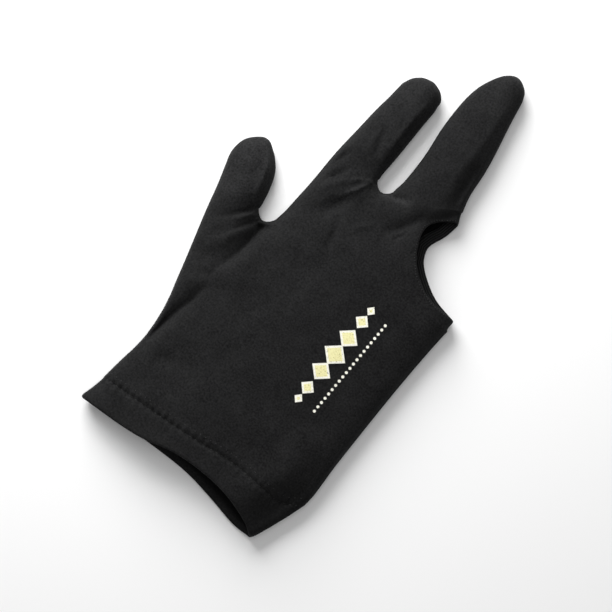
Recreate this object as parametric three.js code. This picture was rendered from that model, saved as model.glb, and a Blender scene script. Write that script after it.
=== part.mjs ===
// A cue glove of thin stretch cloth. Thumb, index and middle finger are covered; the ring and little
// fingers come out through a bound opening in the side. It lies empty on its palm.
// Millimetres. +Y runs from the wrist to the fingertips, +X from the thumb side to the little-finger
// side, +Z up. The group's origin is under the middle of the glove, on the surface that it lies on.

import * as THREE from "three";

// Cloth
const CLOTH = 1.0; // thickness of the back and palm panels
const HEM_CLOTH = 2.2; // the wrist hem is the cloth turned in on itself
const BINDING_CLOTH = 1.8; // the elastic binding of the side opening
const BINDING_WIDTH = 5;
const PIECE_GAP = 0.3; // between pieces that are sewn to each other

// How full the empty glove lies
const SEAM_HEIGHT = 4; // side seam above the surface
const BACK_RISE = 6.2; // back above the side seam, on a finger
const PALM_SWELL = 3.6; // what the back rises more in the middle of the hand
const SWELL_REACH = 26; // how far in from a seam that swell builds up
const BACK_ROLL = 9.5; // width of the back's rounded edge
const PALM_ROLL = 6; // width of the palm's rounded edge

// Hand
const CUFF_WIDTH = 93; // wrist opening, laid flat
const LITTLE_SIDE = 124; // little-finger side seam, from the cuff to the side opening
const HEM_DEPTH = 12; // wrist hem at the thumb side
const CUFF_SETBACK = 8.5; // how far the cuff's upper edge draws back as it arches
const THUMB_WEB = 105.5; // height above the cuff of the web between thumb and index finger
const FINGER_WEB = 147; // and of the web between index and middle finger
const THUMB_SIDE_INSET = 16.2; // index finger's outer side, in from the cuff's thumb corner
const THUMB_GAP = 9.6; // between thumb and index finger at the web
const INDEX_FLARE = 1.5; // what the index finger's outer side draws in at the thumb web
const FINGER_GAP = 8.8; // between index and middle finger at the web

// Fingers: length from the root, full width, and lean towards the thumb
const THUMB_LENGTH = 38.5;
const THUMB_WIDTH = 22;
const THUMB_LEAN = 13.5;
const INDEX_LENGTH = 51;
const INDEX_WIDTH = 21.5;
const INDEX_LEAN = -2.2;
const MIDDLE_LENGTH = 76;
const MIDDLE_WIDTH = 26;
const MIDDLE_LEAN = 3.4;

// Side opening
const OPENING_RUN = 25.3; // how far it reaches past the middle finger's side
const OPENING_DEPTH_BACK = 18.5; // cut in from the line between its ends
const OPENING_DEPTH_PALM = 15;

// Half widths of the fingers, as shares of the width; along is a share of the length from the root.
// null: on that side the finger is still part of the hand. shoulder: the fingertip's arc starts there.
const THUMB_SECTIONS = [
  { along: 0.0, left: 0.465, right: null },
  { along: 0.3, left: 0.49, right: 0.46 },
  { along: 0.5, left: 0.52, right: 0.46 },
  { along: 0.7, left: 0.54, right: 0.405 },
  { along: 0.86, left: 0.44, right: 0.25, shoulder: true },
  { along: 0.955, left: 0.26, right: 0.09 },
  { along: 1.0, left: 0.0, right: null },
];
const INDEX_SECTIONS = [
  { along: 0.0, left: 0.5, right: null },
  { along: 0.1, left: 0.5, right: 0.49 },
  { along: 0.3, left: 0.49, right: 0.475 },
  { along: 0.5, left: 0.485, right: 0.45 },
  { along: 0.7, left: 0.455, right: 0.425 },
  { along: 0.84, left: 0.44, right: 0.405, shoulder: true },
  { along: 0.95, left: 0.29, right: 0.32 },
  { along: 1.0, left: 0.0, right: null },
];
const MIDDLE_SECTIONS = [
  { along: 0.06, left: 0.52, right: null },
  { along: 0.13, left: 0.475, right: 0.673 },
  { along: 0.22, left: 0.46, right: 0.57 },
  { along: 0.32, left: 0.455, right: 0.525 },
  { along: 0.42, left: 0.475, right: 0.515 },
  { along: 0.52, left: 0.495, right: 0.485 },
  { along: 0.62, left: 0.492, right: 0.44 },
  { along: 0.72, left: 0.475, right: 0.39 },
  { along: 0.82, left: 0.415, right: 0.345 },
  { along: 0.91, left: 0.295, right: 0.305, shoulder: true },
  { along: 0.97, left: 0.165, right: 0.21 },
  { along: 1.0, left: 0.0, right: null },
];

// Side seams between the cuff and the fingers: bow away from the straight line between a seam's ends,
// to the right of it seen from the cuff, as a share of the seam's length.
const THUMB_SIDE = [
  { along: 0.08, bow: 0.03 },
  { along: 0.2, bow: 0.056 },
  { along: 0.37, bow: 0.09 },
  { along: 0.53, bow: 0.089 },
  { along: 0.66, bow: 0.067 },
  { along: 0.8, bow: 0.04 },
];
const LITTLE_FINGER_SIDE = [
  { along: 0.065, bow: 0.02 },
  { along: 0.15, bow: 0.043 },
  { along: 0.21, bow: 0.054 },
  { along: 0.4, bow: 0.035 },
  { along: 0.73, bow: 0.008 },
  { along: 0.93, bow: -0.001 },
];

// Edges of the side opening: along is a share of the line between its ends, depth of the cut's depth.
const OPENING_BACK = [
  { along: 0.03, depth: 0.71 },
  { along: 0.19, depth: 0.94 },
  { along: 0.46, depth: 1.0 },
  { along: 0.63, depth: 0.88 },
  { along: 0.8, depth: 0.64 },
  { along: 0.91, depth: 0.31 },
];
const OPENING_PALM = [
  { along: 0.14, depth: 0.4 },
  { along: 0.25, depth: 0.9 },
  { along: 0.37, depth: 1.0 },
  { along: 0.54, depth: 0.87 },
  { along: 0.76, depth: 0.6 },
  { along: 0.92, depth: 0.19 },
];

// Cuff: across is a share of its width. The edges' setback is a share of CUFF_SETBACK, and the line
// where the hem is stitched down lies at a share of HEM_DEPTH.
const CUFF_EDGE_BACK = [
  { across: 0.0, setback: 0.0 },
  { across: 0.2, setback: 0.14 },
  { across: 0.36, setback: 0.4 },
  { across: 0.48, setback: 0.82 },
  { across: 0.64, setback: 1.0 },
  { across: 0.8, setback: 0.88 },
  { across: 0.94, setback: 0.4 },
  { across: 1.0, setback: 0.0 },
];
const CUFF_EDGE_PALM = [
  { across: 0.0, setback: 0.0 },
  { across: 0.12, setback: 0.17 },
  { across: 0.35, setback: 0.33 },
  { across: 0.58, setback: 0.43 },
  { across: 0.76, setback: 0.2 },
  { across: 0.9, setback: -0.05 },
  { across: 1.0, setback: 0.0 },
];
const HEM_STITCH = [
  { across: 0.25, depth: 1.16 },
  { across: 0.48, depth: 1.34 },
  { across: 0.74, depth: 1.62 },
  { across: 0.9, depth: 1.6 },
  { across: 1.0, depth: 1.62 },
];
const HEM_SIDE_THUMB = 1.0; // hem depth at the two side seams, as shares of HEM_DEPTH
const HEM_SIDE_LITTLE = 2.05;

// Folds: a fold runs from one place to another, with X as a share of the hand's width and Y as a share
// of LITTLE_SIDE. width is a share of CUFF_WIDTH; height is a share of BACK_RISE, and is negative for
// a valley.
const BACK_FOLDS = [
  { name: "thumb web valley", fromX: 0.13, fromY: 0.84, toX: 0.0, toY: 0.62, width: 0.062, height: -0.4 },
  { name: "thumb web ridge", fromX: 0.2, fromY: 0.82, toX: 0.11, toY: 0.6, width: 0.06, height: 0.12 },
  { name: "thumb root", fromX: 0.05, fromY: 0.85, toX: -0.09, toY: 0.72, width: 0.05, height: -0.15 },
  { name: "thumb side crease", fromX: 0.05, fromY: 0.36, toX: 0.13, toY: 0.58, width: 0.05, height: -0.28 },
  { name: "heel dent", fromX: 0.13, fromY: 0.29, toX: 0.27, toY: 0.24, width: 0.085, height: -0.2 },
  { name: "index pull", fromX: 0.18, fromY: 1.04, toX: 0.36, toY: 1.17, width: 0.05, height: 0.12 },
  { name: "index root", fromX: 0.19, fromY: 1.12, toX: 0.28, toY: 1.17, width: 0.05, height: -0.16 },
  { name: "index middle", fromX: 0.27, fromY: 1.34, toX: 0.33, toY: 1.23, width: 0.05, height: -0.12 },
  { name: "knuckle hollow", fromX: 0.2, fromY: 0.98, toX: 0.42, toY: 1.07, width: 0.085, height: -0.18 },
  { name: "finger web ridge", fromX: 0.45, fromY: 1.16, toX: 0.58, toY: 1.215, width: 0.05, height: 0.13 },
  { name: "opening pull", fromX: 0.53, fromY: 1.08, toX: 0.63, toY: 1.2, width: 0.055, height: -0.15 },
  { name: "palm furrow", fromX: 0.33, fromY: 0.62, toX: 0.42, toY: 0.93, width: 0.075, height: -0.1 },
  { name: "cuff roll", fromX: 0.9, fromY: 0.1, toX: 0.97, toY: 0.2, width: 0.09, height: -0.3 },
];
// The same under the palm, where height is how far the cloth is lifted off the surface.
const PALM_FOLDS = [
  { name: "thumb root", fromX: 0.08, fromY: 0.82, toX: -0.06, toY: 0.66, width: 0.05, height: 0.22 },
  { name: "finger roots", fromX: 0.22, fromY: 1.0, toX: 0.6, toY: 1.2, width: 0.06, height: 0.24 },
  { name: "heel", fromX: 0.2, fromY: 0.3, toX: 0.5, toY: 0.42, width: 0.06, height: 0.16 },
];

// Mesh: where the rows and columns of the grids fall
const FINGER_COLUMNS = [0, 0.055, 0.16, 0.32, 0.5, 0.68, 0.84, 0.945, 1];
const FINGER_ROWS = [0, 0.04, 0.1, 0.18, 0.27, 0.36, 0.45, 0.54, 0.63, 0.72, 0.81, 0.89, 0.95, 0.985, 1];
const HAND_ROWS = [0, 0.06, 0.13, 0.21, 0.29, 0.37, 0.45, 0.53, 0.61, 0.69, 0.77, 0.84, 0.9, 0.95, 0.98, 1];
const OPENING_STEPS = 7; // columns from the opening's inmost point to its outer end
const END_CROWDING = 1.35; // how those columns crowd towards that end: 1 is even
const SIDE_CROWDING = 0.75; // how the hand's columns crowd towards its side seams: 0 is even
const OPENING_RISE = [0, 0.07, 0.26, 0.5, 0.75, 1]; // steps from the middle finger's side to that point
const RISE_STEPS = OPENING_RISE.length - 1;
const WEB_ANGLES = [205, 270, 335]; // knots on the round bottom of a web between two fingers
const INDEX_BASE_BOW = 0.8; // slope at which the index finger's grid leaves its base's straight line
const HEM_ROWS = [0, 0.2, 0.5, 0.8, 1];
const BINDING_ROWS = [0, 0.5, 1];
const KNOT_STEPS = 12; // points of a drawn curve between two of its knots

const COLOURS = { cloth: 0x242425, hem: 0x222223, binding: 0x0d0d0e };

const point = (x, y) => new THREE.Vector2(x, y);
const between = (a, b, share) => a.clone().lerp(b, share);
const rightOf = (direction) => point(direction.y, -direction.x);
const last = (list) => list[list.length - 1];

// A smooth line through knots, measured by its length.
class Track {
  constructor(knots) {
    const curve = new THREE.CatmullRomCurve3(
      knots.map((k) => new THREE.Vector3(k.x, k.y, 0)),
      false,
      "centripetal",
    );
    this.points = curve.getPoints((knots.length - 1) * KNOT_STEPS).map((p) => point(p.x, p.y));
    this.reached = [0];
    for (let i = 1; i < this.points.length; i++)
      this.reached.push(this.reached[i - 1] + this.points[i].distanceTo(this.points[i - 1]));
    this.length = last(this.reached);
  }
  knot(index) {
    return this.reached[index * KNOT_STEPS];
  }
  at(length) {
    let i = 1;
    while (i < this.points.length - 1 && this.reached[i] < length) i++;
    const share = (length - this.reached[i - 1]) / (this.reached[i] - this.reached[i - 1]);
    return between(this.points[i - 1], this.points[i], share);
  }
  stretch(from, to, shares) {
    return shares.map((share) => this.at(from + (to - from) * share));
  }
  // The length at which the line, walked from its start, first crosses a height.
  lengthAtHeight(y) {
    const sign = Math.sign(y - this.points[0].y);
    const i = this.points.findIndex((p) => (p.y - y) * sign >= 0);
    const [a, b] = [this.points[i - 1], this.points[i]];
    return this.reached[i - 1] + ((y - a.y) / (b.y - a.y)) * (this.reached[i] - this.reached[i - 1]);
  }
}

// The plan of a finger: knots up its left side, round the tip and down its right side.
function fingerOutline({ root, length, width, lean, sections }) {
  const turn = THREE.MathUtils.degToRad(lean);
  const axis = point(-Math.sin(turn), Math.cos(turn));
  const out = rightOf(axis);
  const place = (along, side) =>
    root.clone().addScaledVector(axis, along * length).addScaledVector(out, side * width);
  const left = sections.map((s) => place(s.along, -s.left));
  const rightSections = sections.filter((s) => s.right !== null).reverse();
  const right = rightSections.map((s) => place(s.along, s.right));
  return {
    knots: [...left, ...right],
    leftShoulder: sections.findIndex((s) => s.shoulder),
    rightShoulder: left.length + rightSections.findIndex((s) => s.shoulder),
    left,
    right,
  };
}

// The rounded bottom of the web between two fingers, from one side to the other.
function webKnots(leftSide, rightSide, bottom) {
  const middle = (leftSide + rightSide) / 2;
  const radius = (rightSide - leftSide) / 2;
  return WEB_ANGLES.map((angle) => {
    const turn = THREE.MathUtils.degToRad(angle);
    return point(middle + radius * Math.cos(turn), bottom + radius * (1 + Math.sin(turn)));
  });
}

// Knots of a side seam that bows away from the straight line between its ends.
function bowedKnots(start, end, table) {
  const line = end.clone().sub(start);
  const out = rightOf(line);
  return table.map(({ along, bow }) =>
    start.clone().addScaledVector(line, along).addScaledVector(out, bow),
  );
}

// Plan of the seams. The long one runs from the cuff's thumb corner round the three fingers to the
// side opening; the short one from the opening down the little-finger side to the cuff.
function drawSeams() {
  const thumbCorner = point(0, 0);
  const littleCorner = point(CUFF_WIDTH, 0);
  const indexSide = THUMB_SIDE_INSET;
  const middleSide = indexSide + INDEX_WIDTH + FINGER_GAP;

  const thumb = { length: THUMB_LENGTH, width: THUMB_WIDTH, lean: THUMB_LEAN, sections: THUMB_SECTIONS };
  const atOrigin = fingerOutline({ ...thumb, root: point(0, 0) });
  const thumbFoot = last(atOrigin.right);
  const thumbRise = THUMB_WEB + THUMB_GAP / 2 - thumbFoot.y;
  thumb.outline = fingerOutline({
    ...thumb,
    root: point(indexSide - THUMB_GAP - thumbFoot.x, thumbRise),
  });
  const index = fingerOutline({
    root: point(indexSide + INDEX_WIDTH / 2, FINGER_WEB),
    length: INDEX_LENGTH,
    width: INDEX_WIDTH,
    lean: INDEX_LEAN,
    sections: INDEX_SECTIONS,
  });
  const middle = fingerOutline({
    root: point(middleSide + MIDDLE_WIDTH / 2, FINGER_WEB),
    length: MIDDLE_LENGTH,
    width: MIDDLE_WIDTH,
    lean: MIDDLE_LEAN,
    sections: MIDDLE_SECTIONS,
  });

  const knots = [];
  const mark = {};
  const add = (points) => {
    knots.push(...points);
    return knots.length - points.length;
  };
  add([thumbCorner, ...bowedKnots(thumbCorner, thumb.outline.left[0], THUMB_SIDE)]);
  const addFinger = (name, outline) => {
    const first = add(outline.knots);
    mark[name] = {
      root: first,
      left: first + outline.leftShoulder,
      right: first + outline.rightShoulder,
    };
  };
  addFinger("thumb", thumb.outline);
  mark.thumbWeb = add(webKnots(last(thumb.outline.right).x, indexSide - INDEX_FLARE, THUMB_WEB));
  add([point(indexSide, (THUMB_WEB + FINGER_WEB) / 2)]);
  addFinger("index", index);
  mark.fingerWeb = add(webKnots(last(index.right).x, middle.left[0].x, FINGER_WEB));
  addFinger("middle", middle);

  const openingStart = last(knots);
  const openingEnd = point(openingStart.x + OPENING_RUN, LITTLE_SIDE);
  const fingers = new Track(knots);
  const little = new Track([
    openingEnd,
    ...bowedKnots(littleCorner, openingEnd, LITTLE_FINGER_SIDE).reverse(),
    littleCorner,
  ]);
  return { fingers, little, mark, thumbCorner, littleCorner, openingStart, openingEnd };
}

const seams = drawSeams();
const handWidth = seams.openingEnd.x;

// How far a place in the plan is from the nearest seam, and the way in from that seam.
function seamField(p) {
  let distance = Infinity;
  let inward = point(0, 0);
  for (const { points } of [seams.fingers, seams.little])
    for (let i = 1; i < points.length; i++) {
      const line = points[i].clone().sub(points[i - 1]);
      const share = p.clone().sub(points[i - 1]).dot(line) / line.lengthSq();
      const nearest = between(points[i - 1], points[i], THREE.MathUtils.clamp(share, 0, 1));
      const away = p.distanceTo(nearest);
      if (away < 1e-3) {
        inward = distance < 1e-3 ? inward.add(rightOf(line).normalize()) : rightOf(line).normalize();
        distance = 0;
      } else if (away < distance) {
        distance = away;
        inward = p.clone().sub(nearest);
      }
    }
  return { distance, inward: inward.normalize() };
}

// Sum of the folds at a place: each is a soft ridge or valley round its line.
function foldHeight(p, folds) {
  return folds.reduce((sum, { fromX, fromY, toX, toY, width, height }) => {
    const start = point(fromX * handWidth, fromY * LITTLE_SIDE);
    const line = point(toX * handWidth, toY * LITTLE_SIDE).sub(start);
    const share = THREE.MathUtils.clamp(p.clone().sub(start).dot(line) / line.lengthSq(), 0, 1);
    const away = p.distanceTo(start.addScaledVector(line, share)) / (width * CUFF_WIDTH);
    return sum + height * BACK_RISE * Math.exp(-away * away);
  }, 0);
}

// The outer and the inner face of the cloth over a place in the plan. Both roll over to the side seam,
// where the cloth stands upright, so the wall keeps its thickness all the way.
function backCloth(p, { thickness, rimGap = 0 }) {
  const { distance, inward } = seamField(p);
  const upright = Math.max(1 - distance / BACK_ROLL, 0);
  const level = Math.sqrt(1 - upright * upright);
  const swell = PALM_SWELL * (1 - Math.exp(-((distance / SWELL_REACH) ** 2)));
  const height =
    SEAM_HEIGHT + (rimGap / 2) * upright + level * (BACK_RISE + swell + foldHeight(p, BACK_FOLDS));
  const inside = p.clone().addScaledVector(inward, thickness * upright);
  return {
    outer: new THREE.Vector3(p.x, p.y, height),
    inner: new THREE.Vector3(inside.x, inside.y, height - thickness * level),
  };
}

function palmCloth(p, { thickness, rimGap = 0 }) {
  const { distance, inward } = seamField(p);
  const upright = Math.max(1 - distance / PALM_ROLL, 0);
  const level = Math.sqrt(1 - upright * upright);
  const height =
    (SEAM_HEIGHT - rimGap / 2) * (1 - level) + level * level * level * foldHeight(p, PALM_FOLDS);
  const inside = p.clone().addScaledVector(inward, thickness * upright);
  return {
    outer: new THREE.Vector3(p.x, p.y, height),
    inner: new THREE.Vector3(inside.x, inside.y, height + thickness * level),
  };
}

// A grid of places that fills the space between four edges, each given at its own points.
function fillPatch({ bottom, top, left, right }) {
  const shares = (edge) => {
    const reached = [0];
    for (let i = 1; i < edge.length; i++)
      reached.push(reached[i - 1] + edge[i].distanceTo(edge[i - 1]));
    return reached.map((r) => r / last(reached));
  };
  const [alongBottom, alongTop] = [shares(bottom), shares(top)];
  const [upLeft, upRight] = [shares(left), shares(right)];
  return left.map((_, row) =>
    bottom.map((_, column) => {
      const up = (upLeft[row] + upRight[row]) / 2;
      const across = THREE.MathUtils.lerp(alongBottom[column], alongTop[column], up);
      const corners = between(
        between(bottom[0], last(bottom), across),
        between(top[0], last(top), across),
        up,
      );
      return between(bottom[column], top[column], up)
        .add(between(left[row], right[row], across))
        .sub(corners);
    }),
  );
}

// The four corners of a face, turned so that its shorter diagonal runs from the first to the third.
function cutAcross(round, positions) {
  const at = ({ outer }) => new THREE.Vector3().fromArray(positions, 3 * outer);
  const [a, b, c, d] = round;
  return at(a).distanceTo(at(c)) <= at(b).distanceTo(at(d)) ? round : [b, c, d, a];
}

// A closed solid of cloth over one or more grids. Grids that meet at the same points are joined, and
// every free edge gets a wall between the outer and the inner face.
function clothSolid(sheets) {
  const positions = [];
  const numbers = new Map();
  const number = (v) => {
    const key = [v.x, v.y, v.z].map((c) => Math.round(c * 1e4)).join();
    if (!numbers.has(key)) {
      numbers.set(key, numbers.size);
      positions.push(v.x, v.y, v.z);
    }
    return numbers.get(key);
  };
  const faces = [];
  const edges = new Map();
  for (const { grid, cover, facesUp } of sheets) {
    const cloth = grid.map((row) => row.map(cover));
    const outer = cloth.map((row) => row.map((c) => number(c.outer)));
    const inner = cloth.map((row) => row.map((c) => number(c.inner)));
    const corner = (j, i) => ({ outer: outer[j][i], inner: inner[j][i] });
    for (let j = 1; j < grid.length; j++)
      for (let i = 1; i < grid[j].length; i++) {
        const round = [corner(j - 1, i - 1), corner(j - 1, i), corner(j, i), corner(j, i - 1)];
        if (!facesUp) round.reverse();
        const [a, b, c, d] = cutAcross(round, positions);
        faces.push([a.outer, b.outer, c.outer], [a.outer, c.outer, d.outer]);
        faces.push([a.inner, c.inner, b.inner], [a.inner, d.inner, c.inner]);
        round.forEach((from, k) => {
          const to = round[(k + 1) % round.length];
          const opposite = to.outer + " " + from.outer;
          if (edges.has(opposite)) edges.delete(opposite);
          else edges.set(from.outer + " " + to.outer, [from, to]);
        });
      }
  }
  for (const [from, to] of edges.values())
    faces.push([from.outer, from.inner, to.inner], [from.outer, to.inner, to.outer]);
  const geometry = new THREE.BufferGeometry();
  geometry.setAttribute("position", new THREE.Float32BufferAttribute(positions, 3));
  geometry.setIndex(faces.flat());
  geometry.computeVertexNormals();
  return geometry;
}

// How far a line's end moves along a seam to keep a distance from the stretch that ends there.
function gapAlong(seamDirection, from, to, distance) {
  return distance / seamDirection.dot(rightOf(to.clone().sub(from)).normalize());
}

// One edge of the side opening, the line where its binding ends and the edge of the cloth beside that.
// All three have a point for each step, and at the inmost one the middle finger's grid meets the hand's.
function openingEdges(table, depth) {
  const { openingStart: start, openingEnd: end, fingers, little } = seams;
  const line = end.clone().sub(start);
  const inward = rightOf(line).normalize();
  const drawn = new Track([
    start,
    ...table.map((row) =>
      start.clone().addScaledVector(line, row.along).addScaledVector(inward, row.depth * depth),
    ),
    end,
  ]);
  const inmost = drawn.knot(2);
  const outward = Array.from(
    { length: OPENING_STEPS + 1 },
    (_, i) => 1 - (1 - i / OPENING_STEPS) ** END_CROWDING,
  );
  const edge = [
    ...drawn.stretch(0, inmost, OPENING_RISE),
    ...drawn.stretch(inmost, drawn.length, outward).slice(1),
  ];
  const boundStart = fingers.at(fingers.length - BINDING_WIDTH);
  const boundEnd = little.at(BINDING_WIDTH);
  const startDirection = boundStart.clone().sub(start).normalize();
  const endDirection = boundEnd.clone().sub(end).normalize();
  const bound = edge.map((p, i) => {
    if (i === 0) return boundStart;
    if (i === edge.length - 1) return boundEnd;
    const way = rightOf(edge[i + 1].clone().sub(edge[i - 1])).normalize();
    if (i === 1) way.add(startDirection);
    if (i === edge.length - 2) way.add(endDirection);
    return p.clone().addScaledVector(way.normalize(), BINDING_WIDTH);
  });
  const count = bound.length;
  const startGap = gapAlong(startDirection, bound[0], bound[1], PIECE_GAP);
  const endGap = gapAlong(endDirection, bound[count - 2], bound[count - 1], PIECE_GAP);
  const seamStart = fingers.length - BINDING_WIDTH - startGap;
  const seamEnd = BINDING_WIDTH + endGap;
  const cloth = bound.map((p, i) => {
    if (i === 0) return fingers.at(seamStart);
    if (i === count - 1) return little.at(seamEnd);
    const before = rightOf(p.clone().sub(bound[i - 1])).normalize();
    const after = rightOf(bound[i + 1].clone().sub(p)).normalize();
    const way = before.add(after).normalize();
    return p.clone().addScaledVector(way, PIECE_GAP / way.dot(after));
  });
  return { edge, bound, cloth, seamStart, seamEnd };
}

const openings = {
  back: openingEdges(OPENING_BACK, OPENING_DEPTH_BACK),
  palm: openingEdges(OPENING_PALM, OPENING_DEPTH_PALM),
};

// The line where the hem is stitched down, lifted by a distance, at the shares of its length given.
function stitchLine(lift, shares) {
  const { fingers, little } = seams;
  const start = fingers.at(fingers.lengthAtHeight(HEM_SIDE_THUMB * HEM_DEPTH + lift));
  const end = little.at(little.lengthAtHeight(HEM_SIDE_LITTLE * HEM_DEPTH + lift));
  const knots = HEM_STITCH.map(({ across, depth }) => point(across * CUFF_WIDTH, depth * HEM_DEPTH + lift));
  const line = new Track([start, ...knots, end]);
  return line.stretch(0, line.length, shares);
}

// Shares of the hand's columns: crowded at the two side seams, where the cloth rolls over.
function handColumns() {
  const count = 3 * (FINGER_COLUMNS.length - 1) + 2 * (WEB_ANGLES.length - 1) + OPENING_STEPS;
  return Array.from({ length: count + 1 }, (_, i) => {
    const even = i / count;
    return even - (SIDE_CROWDING * Math.sin(2 * Math.PI * even)) / (2 * Math.PI);
  });
}

// The grids of one panel: the hand from the hem up, then a grid for each finger.
function panelGrids(opening) {
  const { fingers, little, mark } = seams;
  const rise = opening.cloth.slice(0, RISE_STEPS + 1).reverse();
  const run = opening.cloth.slice(RISE_STEPS);
  const at = (knot) => fingers.at(fingers.knot(knot));
  const acrossTo = (from, to, slope = 0) => {
    const hollow = rightOf(to.clone().sub(from)).multiplyScalar(slope);
    return FINGER_COLUMNS.map((share) =>
      between(from, to, share).addScaledVector(hollow, share * (1 - share) ** 2),
    );
  };
  const webOf = (firstKnot) => WEB_ANGLES.map((_, i) => at(firstKnot + i));
  const thumbWeb = webOf(mark.thumbWeb);
  const fingerWeb = webOf(mark.fingerWeb);
  const bases = {
    thumb: acrossTo(at(mark.thumb.root), thumbWeb[0]),
    index: acrossTo(last(thumbWeb), fingerWeb[0], INDEX_BASE_BOW),
    middle: acrossTo(last(fingerWeb), run[0]),
  };
  const knuckles = [bases.thumb, thumbWeb, bases.index, fingerWeb, bases.middle, run];
  const hemTop = HEM_SIDE_THUMB * HEM_DEPTH + PIECE_GAP;
  const littleTop = HEM_SIDE_LITTLE * HEM_DEPTH + PIECE_GAP;
  const hand = fillPatch({
    bottom: stitchLine(PIECE_GAP, handColumns()),
    top: knuckles.flatMap((line, i) => (i === 0 ? line : line.slice(1))),
    left: fingers.stretch(fingers.lengthAtHeight(hemTop), fingers.knot(mark.thumb.root), HAND_ROWS),
    right: little.stretch(little.lengthAtHeight(littleTop), opening.seamEnd, HAND_ROWS),
  });

  const webSteps = WEB_ANGLES.length - 1;
  const finger = (name, from, right) =>
    fillPatch({
      bottom: bases[name],
      top: fingers.stretch(fingers.knot(mark[name].left), fingers.knot(mark[name].right), FINGER_COLUMNS),
      left: fingers.stretch(fingers.knot(from), fingers.knot(mark[name].left), FINGER_ROWS),
      right,
    });
  const downTo = (name, to) => fingers.stretch(fingers.knot(to), fingers.knot(mark[name].right), FINGER_ROWS);
  // The middle finger's right side starts as the edge of the opening and goes on as the seam.
  const seamShares = FINGER_ROWS.slice(RISE_STEPS).map(
    (share) => (share - FINGER_ROWS[RISE_STEPS]) / (1 - FINGER_ROWS[RISE_STEPS]),
  );
  const besideOpening = fingers.stretch(opening.seamStart, fingers.knot(mark.middle.right), seamShares);
  return [
    hand,
    finger("thumb", mark.thumb.root, downTo("thumb", mark.thumbWeb)),
    finger("index", mark.thumbWeb + webSteps, downTo("index", mark.fingerWeb)),
    finger("middle", mark.fingerWeb + webSteps, [...rise, ...besideOpening.slice(1)]),
  ];
}

function panelGeometry(opening, cloth, facesUp) {
  const cover = (p) => cloth(p, { thickness: CLOTH, rimGap: PIECE_GAP });
  return clothSolid(panelGrids(opening).map((grid) => ({ grid, cover, facesUp })));
}

// A band of cloth that goes right round: over the back, round one seam, under the palm and back.
function ringGeometry(backGrid, palmGrid, thickness) {
  return clothSolid([
    { grid: backGrid, cover: (p) => backCloth(p, { thickness }), facesUp: true },
    { grid: palmGrid, cover: (p) => palmCloth(p, { thickness }), facesUp: false },
  ]);
}

function hemGeometry() {
  const { fingers, little } = seams;
  const columns = handColumns();
  const left = fingers.stretch(0, fingers.lengthAtHeight(HEM_SIDE_THUMB * HEM_DEPTH), HEM_ROWS);
  const littleTop = little.lengthAtHeight(HEM_SIDE_LITTLE * HEM_DEPTH);
  const right = little.stretch(little.length, littleTop, HEM_ROWS);
  const top = stitchLine(0, columns);
  const grid = (table) => {
    const edge = new Track(
      table.map(({ across, setback }) => point(across * CUFF_WIDTH, setback * CUFF_SETBACK)),
    );
    return fillPatch({ bottom: edge.stretch(0, edge.length, columns), top, left, right });
  };
  return ringGeometry(grid(CUFF_EDGE_BACK), grid(CUFF_EDGE_PALM), HEM_CLOTH);
}

function bindingGeometry() {
  const { fingers, little } = seams;
  const down = fingers.stretch(fingers.length - BINDING_WIDTH, fingers.length, BINDING_ROWS);
  const up = little.stretch(BINDING_WIDTH, 0, BINDING_ROWS);
  const grid = ({ edge, bound }) => fillPatch({ bottom: bound, top: edge, left: down, right: up });
  return ringGeometry(grid(openings.back), grid(openings.palm), BINDING_CLOTH);
}

function piece(name, geometry, colour, roughness) {
  const material = new THREE.MeshStandardMaterial({ color: colour, roughness, metalness: 0 });
  const mesh = new THREE.Mesh(geometry, material);
  mesh.name = name;
  return mesh;
}

const glove = new THREE.Group();
glove.add(
  piece("back_panel", panelGeometry(openings.back, backCloth, true), COLOURS.cloth, 0.8),
  piece("palm_panel", panelGeometry(openings.palm, palmCloth, false), COLOURS.cloth, 0.8),
  piece("wrist_hem", hemGeometry(), COLOURS.hem, 0.85),
  piece("opening_binding", bindingGeometry(), COLOURS.binding, 0.9),
);
const box = new THREE.Box3().setFromObject(glove);
const middle = box.getCenter(new THREE.Vector3());
glove.position.set(-middle.x, -middle.y, -box.min.z);

export default glove;
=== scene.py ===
# %% [markdown]
# # A cue glove
#
# A thin black stretch glove lies empty on its palm, on a pale table. It covers the thumb, the index
# and the middle finger. The two other fingers come out through an opening in its side.
#
# The solids of the glove are loaded first, in metres. They hold its true size, so every piece made
# here starts from them and stays in their place.

# %% The solids
import math
import random

import bmesh
import bpy
import numpy as np
from mathutils import Matrix, Vector, noise
from mathutils.bvhtree import BVHTree
from mathutils.kdtree import KDTree


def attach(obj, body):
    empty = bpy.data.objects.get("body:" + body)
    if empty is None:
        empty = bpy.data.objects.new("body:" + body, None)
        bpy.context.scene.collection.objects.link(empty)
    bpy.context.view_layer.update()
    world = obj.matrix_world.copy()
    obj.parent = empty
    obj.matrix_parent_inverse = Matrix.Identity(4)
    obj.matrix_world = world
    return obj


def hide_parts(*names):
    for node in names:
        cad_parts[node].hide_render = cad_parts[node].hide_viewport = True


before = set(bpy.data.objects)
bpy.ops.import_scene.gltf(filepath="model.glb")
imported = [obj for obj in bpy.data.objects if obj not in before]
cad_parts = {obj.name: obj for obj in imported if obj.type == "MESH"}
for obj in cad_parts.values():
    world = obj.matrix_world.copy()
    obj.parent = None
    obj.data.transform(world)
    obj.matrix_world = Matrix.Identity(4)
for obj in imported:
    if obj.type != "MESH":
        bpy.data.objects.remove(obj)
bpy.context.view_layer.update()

MM = 0.001

# %% [markdown]
# ## Camera
#
# A product photograph of a glove is taken from nearly straight above. The glove lies slanting in the
# picture, with its fingers to the upper right. A long lens keeps its shape nearly undistorted.
# The camera is placed from the way it looks: it stands back from a point on the glove along a line
# that is given by its compass angle and its height.

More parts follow.
